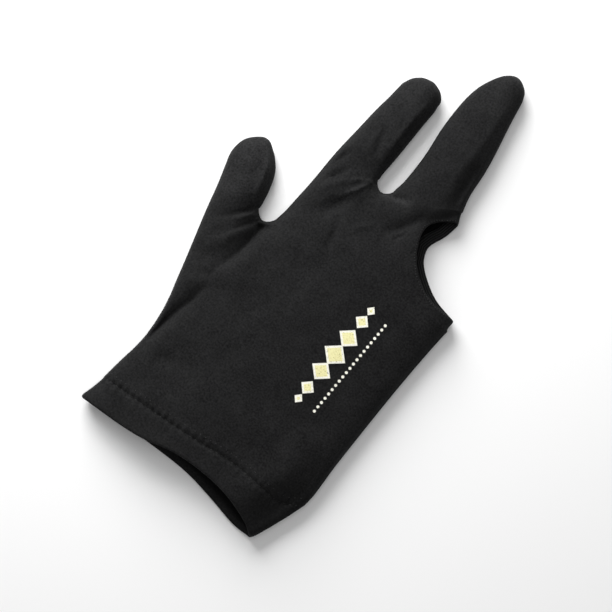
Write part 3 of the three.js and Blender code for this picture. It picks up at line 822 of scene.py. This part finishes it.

# %% [markdown]
# The cloth's colour also carries painted light and shade. There are painted highlights along the pulls of
# the finger web and on the thumb's edge, lighter cloth on the thumb and fingers where the key light falls,
# and painted shade down in the creases. The same kind of table says where, and its heights are now
# shares of the cloth's own brightness. They are stored on the mesh as one number at each corner,
# which the knit multiplies into its colour.

# %% Painted light and shade on the cloth
# painted highlights, painted light where the key light falls, and painted shade in the creases
PAINTED_LIGHT_AND_SHADE = [
    mark(
        "rubbed streak under the finger web", height=0.9, widths=(1.2, 1.4),
        path=[(-0.6, 34.2), (4.5, 36), (9, 37.4), (14.4, 38.8)],
    ),
    mark(
        "rubbed upper pull", height=0.45, widths=(1.0, 1.0),
        path=[(-4.5, 41), (-11.9, 36.3), (-19.9, 28.2), (-23.5, 22.2)],
    ),
    mark(
        "rubbed lower pull", height=0.45, widths=(1.0, 1.2),
        path=[(-2.8, 37), (-7.3, 30.7), (-11.5, 21.1), (-14, 15)],
    ),
    mark(
        "rubbed edge of the thumb", height=0.6, widths=(1.3, 0.8),
        path=[(-52.4, 20.6), (-46.6, 17.6), (-42.9, 12.1), (-40.7, 5.9), (-39.4, 0.7), (-36, -5)],
    ),
    mark(
        "stretched thumb", height=0.48, widths=(12.0, 12.0),
        path=[(-45, -14), (-48, 2), (-53, 18), (-58, 38)],
    ),
    mark(
        "stretched index finger", height=0.26, widths=(9.0, 9.0),
        path=[(-12.6, 46), (-12.2, 64), (-13.1, 82), (-13.4, 104)],
    ),
    mark(
        "stretched middle fingertip", height=0.24, widths=(8.0, 8.0),
        path=[(16, 82), (14.5, 100), (13, 122)],
    ),
    mark(
        "upper shade on the index finger", height=-0.3, widths=(1.6, 1.6),
        path=[(-20.5, 42), (-23.2, 31.2)],
    ),
    mark(
        "lower shade on the index finger", height=-0.3, widths=(1.6, 1.6),
        path=[(-15, 33.6), (-18.6, 28.6), (-22.4, 22)],
    ),
    mark(
        "shade in the deep pleat", height=-0.45, widths=(4.0, 0.6), runs_out="one end",
        path=[(-29.6, -6.2), (-28.8, -12), (-28.9, -17.8), (-29.3, -23.5), (-30.6, -29.8), (-32.8, -36)],
    ),
    mark(
        "shade on the thumb side", height=-0.4, widths=(2.2, 0.6), runs_out="one end",
        path=[(-35.6, -73.5), (-34.4, -65.3), (-33, -57.8), (-31.2, -50.4), (-30.2, -41)],
    ),
    mark(
        "shade at the top of the opening", height=-0.4, widths=(3.0, 3.0),
        path=[(20.5, 33), (24.7, 38.5), (27.8, 42.8), (30.9, 47), (35, 53)],
    ),
    mark(
        "shade beside the middle finger's root", height=-0.3, widths=(3.0, 2.4),
        path=[(25, 74), (26.4, 62), (27.6, 52), (29, 44)],
    ),
    mark(
        "shade at the little-finger corner", height=-0.35, widths=(9.0, 9.0),
        path=[(42, -128), (50, -110), (57, -86), (56, -66)],
    ),
]

# %% [markdown]
# The hem is turned over at the wrist, so what shows inside the mouth is still its brushed side. Further
# in, painted shade darkens it, as the hollow's shade falls there. How far in a corner lies is its
# distance from the rim of the hem.

# %% Painted light and shade on the mesh
INWARD = -0.1  # a normal that points outward by less than this belongs to the inside
HEM_LIT = 2.6  # mm inside the mouth where the hem's turned edge still looks as it does outside
HEM_FADE = 1.2
# painted shade that darkens the hem deeper inside the mouth
HEM_PAINTED_SHADE = -0.7
RIM_FLAT = 0.5  # on the rim, a normal rises or falls by less than this
RIM_WAY = -0.3  # and points away from the fingers by more than this


def store(piece, name, values):
    layer = piece.data.attributes.new(name, "FLOAT", "POINT")
    layer.data.foreach_set("value", np.array(values, np.float32))


def outward(piece, place, normal):
    over = piece is back_cloth or (piece is not palm_cloth and place.z / MM > SEAM_LEVEL)
    return normal.z if over else -normal.z


def painted_shade_inside_hem(piece):
    corners = piece.data.vertices
    rim = [
        corner.co for corner in corners
        if abs(corner.normal.z) < RIM_FLAT and corner.normal.y < RIM_WAY
    ]
    tree = tree_of(rim)
    away = np.array([tree.find(corner.co)[2] for corner in corners]) / MM
    looks_in = np.array([outward(piece, corner.co, corner.normal) < INWARD for corner in corners])
    return looks_in * HEM_PAINTED_SHADE * np.clip((away - HEM_LIT) / HEM_FADE, 0, 1)


for piece in (back_cloth, cuff_hem, finger_edge):
    tone = fold_heights(corners_of(piece)[:, :2] / MM, PAINTED_LIGHT_AND_SHADE)
    if piece is cuff_hem:
        tone = tone + painted_shade_inside_hem(piece)
    store(piece, "tone", tone)
print(len(PAINTED_LIGHT_AND_SHADE), "places with a tone of their own")

# %% [markdown]
# ## The elastic inside the opening
#
# The opening for the two bare fingers is bound with a flat elastic. It lies on the inside, and shows
# where the cloth of the palm reaches further than that of the back. Its ribs run along the edge, so
# the material needs to know how far each point is from the seam. That number is stored on the mesh.

# %% Ribbed elastic
RIB = 0.95  # mm
YARN = 0.4
ELASTIC_DARK = (0.001, 0.001, 0.001)
ELASTIC_LIGHT = (0.02, 0.02, 0.0205)


def from_paths(piece, paths):
    places = corners_of(piece)[:, :2] / MM
    return np.min([beside_path(places, path)[0] for path in paths], axis=0)


def ribbed_elastic():
    material, tree, shader = new_finish("ribbed_elastic", roughness=0.8, specular=0.15, sheen=0.02)
    layer = add_node(tree, "ShaderNodeAttribute", {"attribute_name": "from_seam"})
    turns = combined(tree, "MULTIPLY", layer.outputs["Fac"], 2 * math.pi / RIB)
    wave = combined(tree, "SINE", turns, 0)
    rib = combined(tree, "ADD", combined(tree, "MULTIPLY", wave, 0.5), 0.5)
    yarn = speckle(tree, millimetres(tree), YARN, detail=2)
    shade = combined(tree, "MULTIPLY", rib, yarn)
    colour = toned(tree, shade, [(0.05, ELASTIC_DARK), (0.6, ELASTIC_LIGHT)])
    tree.links.new(colour, shader.inputs["Base Color"])
    normal = raised(tree, rib, depth=0.25, strength=0.8)
    normal = raised(tree, yarn, depth=0.1, strength=0.4, under=normal)
    tree.links.new(normal, shader.inputs["Normal"])
    return material


elastic = ribbed_elastic()
store(finger_edge, "from_seam", from_paths(finger_edge, [edge_over, edge_under]))
print("ribs", RIB, "mm apart")

# %% [markdown]
# The binding's outer face is the glove's own cloth, turned over the elastic. Its faces that look into
# the hollow are elastic. Those of the back and the palm show the wrong side of the knit, which isn't
# brushed and so is a deeper black; it is made darker still as painted shade for the hollow.

# %% Dressing the pieces
SMOOTH_BELOW = math.radians(50)


def smooth(piece):
    select_only(piece)
    bpy.ops.object.shade_smooth_by_angle(angle=SMOOTH_BELOW)


DRESS = {
    back_cloth: (glove_knit, unbrushed_shaded_knit),
    palm_cloth: (glove_knit, unbrushed_shaded_knit),
    cuff_hem: (hem_knit, hem_knit),
    finger_edge: (glove_knit, elastic),
}
for piece, (outside, inside) in DRESS.items():
    piece.data.materials.append(outside)
    piece.data.materials.append(inside)
    faces = piece.data.polygons
    for face in faces:
        face.material_index = int(outward(piece, face.center, face.normal) < INWARD)
    smooth(piece)
    inner = sum(face.material_index for face in faces)
    print(piece.name, "looks inward with", inner, "of", len(faces), "faces")

# %% [markdown]
# ## Stitches
#
# The hem is held by two rows of stitches, made at once by a machine with two needles. The lower row
# lies in the groove of the hem, the other one a few millimetres nearer to the fingers. One stitch is
# modelled: a round bead, drawn out to the length of a stitch, with its two ends pressed down into the
# cloth. It is then copied along the seam, each copy turned to the seam and to the slope of the cloth.

# %% One stitch
THREAD = 0.42  # mm
STITCH_RINGS = 6
STITCH_SIDES = 8
STITCH_ENDS = 0.3  # from this share of its length outward, a stitch is pressed down
END_DIP = 0.75  # how far its ends go down, in threads


def primitive_stitch(length, thread):
    bpy.ops.object.select_all(action="DESELECT")
    bpy.ops.mesh.primitive_uv_sphere_add(segments=STITCH_SIDES, ring_count=STITCH_RINGS, radius=1)
    stitch = bpy.context.object
    bpy.ops.object.mode_set(mode="EDIT")
    bpy.ops.mesh.select_all(action="SELECT")
    bpy.ops.transform.rotate(value=math.pi / 2, orient_axis="Y", center_override=(0, 0, 0))
    radii = [size * MM / 2 for size in (length, thread, thread)]
    bpy.ops.transform.resize(value=radii, center_override=(0, 0, 0))
    bpy.ops.mesh.select_all(action="DESELECT")
    mesh = bmesh.from_edit_mesh(stitch.data)
    for corner in mesh.verts:
        corner.select = abs(corner.co.x) > STITCH_ENDS * length * MM
    mesh.select_flush(True)
    bmesh.update_edit_mesh(stitch.data)
    bpy.ops.transform.translate(value=(0, 0, -END_DIP * thread * MM))
    bpy.ops.object.mode_set(mode="OBJECT")
    bpy.ops.object.shade_smooth()
    return stitch


# %% [markdown]
# A ray that falls on the cloth from above, or rises to it from below, finds the place and the slope for
# each stitch.

# %% Places on the cloth
FAR = 0.1  # m, from where the rays start


def cloth_surface(pieces):
    corners = []
    faces = []
    for piece in pieces:
        first = len(corners)
        corners += [corner.co for corner in piece.data.vertices]
        faces += [[first + number for number in face.vertices] for face in piece.data.polygons]
    return BVHTree.FromPolygons(corners, faces)


def along(path, pitch, shift=0.0):
    path = np.array(path, float)
    ways = np.gradient(path, axis=0)
    ways /= np.linalg.norm(ways, axis=1)[:, None]
    path = path + shift * np.column_stack([-ways[:, 1], ways[:, 0]])
    reached = reached_along(path)
    stops = np.arange(pitch, reached[-1] - pitch / 2, pitch)
    x, y, way_x, way_y = (np.interp(stops, reached, values) for values in (*path.T, *ways.T))
    return list(zip(zip(x, y), zip(way_x, way_y)))


def on_cloth(surface, place, over):
    side = 1 if over else -1
    start = Vector((place[0] * MM, place[1] * MM, FAR * side))
    hit, normal, _, _ = surface.ray_cast(start, Vector((0, 0, -side)))
    if hit is None:
        return None
    if normal.z * side < 0:
        normal.negate()
    return hit, normal


# %% Laying stitches on the cloth
HAND_SPREAD = 0.22  # how much a stitch's size and direction differ from the next one's
UNDER_SINK = 0.17  # mm that a stitch of the palm is pressed in, as the glove lies on it
STEEPEST = 0.35  # no stitch is laid where the cloth's normal rises less than this


def joined(pieces, name):
    bpy.ops.object.select_all(action="DESELECT")
    for piece in pieces:
        piece.select_set(True)
    bpy.context.view_layer.objects.active = pieces[0]
    bpy.ops.object.join()
    whole = bpy.context.object
    whole.name = name
    return whole


def stitch_row(name, surface, stitch, rows, material):
    copies = []
    chance = random.Random(len(name))
    for stops, over, turned in rows:
        for place, way in stops:
            found = on_cloth(surface, place, over)
            if found is None or abs(found[1].z) < STEEPEST:
                continue
            hit, up = found
            if not over:
                hit.z += UNDER_SINK * MM
            forward = Vector((*way, 0))
            if turned:
                forward = Vector((-way[1], way[0], 0))
            forward += Vector((-forward.y, forward.x, 0)) * chance.uniform(-HAND_SPREAD, HAND_SPREAD)
            forward = (forward - up * forward.dot(up)).normalized()
            turn = Matrix((forward, up.cross(forward), up)).transposed().to_4x4()
            size = Matrix.Scale(1 - chance.uniform(0, 2 * HAND_SPREAD), 4)
            mesh = stitch.data.copy()
            mesh.transform(Matrix.Translation(hit) @ turn @ size)
            copy = bpy.data.objects.new(name, mesh)
            bpy.context.collection.objects.link(copy)
            copies.append(copy)
    bpy.data.objects.remove(stitch)
    row = joined(copies, name)
    row.data.materials.append(material)
    print(name, "has", len(copies), "stitches")
    return row


# %% [markdown]
# The hem's lower row is sewn in black. The finer stitches, above it and along the opening, have a
# greyer thread and show as faint dots. The twist of a thread is a row of diagonal bands.

# %% Thread
TWIST = 0.18  # mm
LINT = 0.3
THREAD_BLACK = (0.003, 0.003, 0.0032)
THREAD_GREY = (0.006, 0.006, 0.0062)
THREAD_PALE = (0.022, 0.022, 0.0225)


def thread(name, dark, light):
    material, tree, shader = new_finish(name, roughness=0.6, specular=0.3, sheen=0.05)
    vector = millimetres(tree)
    plies = bands(tree, vector, "DIAGONAL", TWIST)
    strand = combined(tree, "MULTIPLY", plies, speckle(tree, vector, LINT, detail=1))
    tree.links.new(toned(tree, strand, [(0.1, dark), (0.5, light)]), shader.inputs["Base Color"])
    tree.links.new(raised(tree, strand, depth=0.06, strength=0.8), shader.inputs["Normal"])
    return material


hem_thread = thread("hem_thread", THREAD_BLACK, THREAD_GREY)
edge_thread = thread("edge_thread", THREAD_BLACK, THREAD_PALE)

# %% The hem's two rows
LOWER_STITCH = 2.2  # mm
LOWER_PITCH = 2.5
UPPER_STITCH = 1.1
UPPER_PITCH = 2.5
UPPER_THREAD = 0.8 * THREAD
ROW_GAP = 3.0

surface = cloth_surface(CLOTH_PIECES)
toward_fingers = 1 if hem_over[0][0] < hem_over[-1][0] else -1
toward_under = 1 if hem_under[0][0] < hem_under[-1][0] else -1
lower_row = stitch_row(
    "hem_stitches_lower", surface, primitive_stitch(LOWER_STITCH, THREAD),
    [(along(hem_over, LOWER_PITCH), True, False), (along(hem_under, LOWER_PITCH), False, False)],
    hem_thread,
)
upper_row = stitch_row(
    "hem_stitches_upper", surface, primitive_stitch(UPPER_STITCH, UPPER_THREAD),
    [
        (along(hem_over, UPPER_PITCH, ROW_GAP * toward_fingers), True, False),
        (along(hem_under, UPPER_PITCH, ROW_GAP * toward_under), False, False),
    ],
    edge_thread,
)

# %% [markdown]
# The edge of the opening is closed by a narrow overlock seam. Of it only the small loops that wrap the
# edge are seen. They are the same stitch, shorter, and turned across the edge.

# %% Loops along the opening's edge
LOOP = 0.95  # mm
LOOP_PITCH = 1.15
LOOP_THREAD = 0.75 * THREAD
BINDING_WIDTH = 5.0
LOOP_INSET = 0.55
OPENING_CENTRE = (60.0, 45.0)
PROBE = 8.0  # mm from a seam's end, where the side that faces the opening is looked for


def toward_edge(path, centre):
    (first, way), *_ = along(path, PROBE)
    side = np.array([-way[1], way[0]])
    return 1 if side @ (np.array(centre) - np.array(first)) > 0 else -1


loop_rows = []
for path, over in ((edge_over, True), (edge_under, False)):
    shift = (BINDING_WIDTH - LOOP_INSET) * toward_edge(path, OPENING_CENTRE)
    loop_rows.append((along(path, LOOP_PITCH, shift), over, True))
edge_loops = stitch_row(
    "edge_loops", surface, primitive_stitch(LOOP, LOOP_THREAD), loop_rows, edge_thread,
)

# %% [markdown]
# ## The print
#
# A glove of this kind carries a small print beside the little finger, in pale gold and white. Here it
# is a plain ornament, a row of lozenges like the sights along a table's rail, with a line of dots.
# It is screen printed, so it is a film of ink hardly thicker than a hair that follows every unevenness
# of the cloth. A lozenge starts as a circle of four corners, gets a rim by an inset, is cut fine enough
# to bend, and is laid down on the cloth.

# %% Printed shapes
INK = 0.1  # mm
PRINT_X = 29.6
PRINT_FROM = -55.0
PRINT_TO = -6.0
LOZENGES = [  # place along the line, width and length
    (0.02, 4.0, 4.4), (0.14, 6.6, 6.6), (0.32, 9.6, 8.8), (0.5, 11.0, 10.0),
    (0.68, 9.6, 8.8), (0.86, 6.6, 6.6), (0.98, 4.0, 4.4),
]
LOZENGE_CORNERS = 4
RIM = 0.9
DOT = 1.3
DOT_PITCH = 2.3
DOT_CORNERS = 12
DOT_LINE = 8.4  # mm from the lozenges' line
DRAPE_CUTS = 5


def printed_shape(corners, width, length, place, rim, inks):
    bpy.ops.object.select_all(action="DESELECT")
    bpy.ops.mesh.primitive_circle_add(vertices=corners, radius=1, fill_type="NGON")
    shape = bpy.context.object
    for ink_film in inks:
        shape.data.materials.append(ink_film)
    bpy.ops.object.mode_set(mode="EDIT")
    bpy.ops.mesh.select_all(action="SELECT")
    bpy.ops.transform.resize(value=(width * MM / 2, length * MM / 2, 1), center_override=(0, 0, 0))
    bpy.ops.transform.translate(value=(place[0] * MM, place[1] * MM, 0))
    if rim:
        bpy.ops.mesh.inset(thickness=rim * MM)
        mesh = bmesh.from_edit_mesh(shape.data)
        for face in mesh.faces:
            face.material_index = int(face.select)
        bmesh.update_edit_mesh(shape.data)
        bpy.ops.mesh.select_all(action="SELECT")
    bpy.ops.mesh.subdivide(number_cuts=DRAPE_CUTS if rim else 1)
    bpy.ops.object.mode_set(mode="OBJECT")
    return shape


# %% Laying the print down
def lay_down(shapes, name, surface):
    film = joined(shapes, name)
    for corner in film.data.vertices:
        hit, up = on_cloth(surface, corner.co / MM, True)
        corner.co = hit + up * INK * MM / 2
    modifier = film.modifiers.new("ink", "SOLIDIFY")
    modifier.thickness = INK * MM
    modifier.offset = 0
    bpy.ops.object.modifier_apply(modifier="ink")
    smooth(film)
    return film


# %% [markdown]
# On stretched cloth the ink wears off between the loops. Where fine noise and the loops both run low,
# it gets a shade darker, and the cloth's grey shows in the lowest places.

# %% Ink
GOLD_INK = (0.82, 0.78, 0.42)
GOLD_SHADE = (0.68, 0.62, 0.28)
WHITE_INK = (0.88, 0.87, 0.78)
WHITE_SHADE = (0.72, 0.7, 0.58)
WEAR_SIZE = 0.5  # mm
WEAR_LIFT = 1.4  # added to the loops, so that they count less than the noise


def ink(name, colour, shade):
    material, tree, shader = new_finish(name, roughness=0.55, specular=0.35, sheen=0.0)
    vector = millimetres(tree)
    loops = knit_loops(tree, vector)
    cover = combined(tree, "ADD", loops, WEAR_LIFT)
    wear = combined(tree, "MULTIPLY", speckle(tree, vector, WEAR_SIZE, detail=4), cover)
    cracked = toned(tree, wear, [(0.42, KNIT_LIGHT), (0.55, shade), (0.8, colour)])
    tree.links.new(cracked, shader.inputs["Base Color"])
    tree.links.new(raised(tree, loops, depth=0.08, strength=0.6), shader.inputs["Normal"])
    return material


inks = [ink("white_ink", WHITE_INK, WHITE_SHADE), ink("gold_ink", GOLD_INK, GOLD_SHADE)]

# %% The ornament
shapes = []
for share, width, length in LOZENGES:
    place = (PRINT_X, PRINT_FROM + (PRINT_TO - PRINT_FROM) * share)
    shapes.append(printed_shape(LOZENGE_CORNERS, width, length, place, RIM, inks))
for number in range(int((PRINT_TO - PRINT_FROM) / DOT_PITCH)):
    place = (PRINT_X + DOT_LINE, PRINT_FROM + DOT_PITCH * (number + 0.5))
    shapes.append(printed_shape(DOT_CORNERS, DOT, DOT, place, 0, inks))
print_film = lay_down(shapes, "back_print", surface)
print("the print has", len(shapes), "shapes")

# %% [markdown]
# ## What each piece stands for
#
# Every piece rides on the glove's only body, and each cloth piece stands for the solid that it was
# copied from, which is hidden.

# %% Standing for the solids
STANDS_FOR = {
    back_cloth: ("back_panel", "glove_knit"),
    palm_cloth: ("palm_panel", "glove_knit"),
    cuff_hem: ("wrist_hem", "hem_knit"),
    finger_edge: ("opening_binding", "binding_elastic"),
}
for piece, (node, slot) in STANDS_FOR.items():
    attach(piece, "root")
    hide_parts(node)
TRIMS = {
    lower_row: "hem_knit",
    upper_row: "hem_knit",
    edge_loops: "binding_elastic",
    print_film: "glove_knit",
}
for piece, slot in TRIMS.items():
    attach(piece, "root")
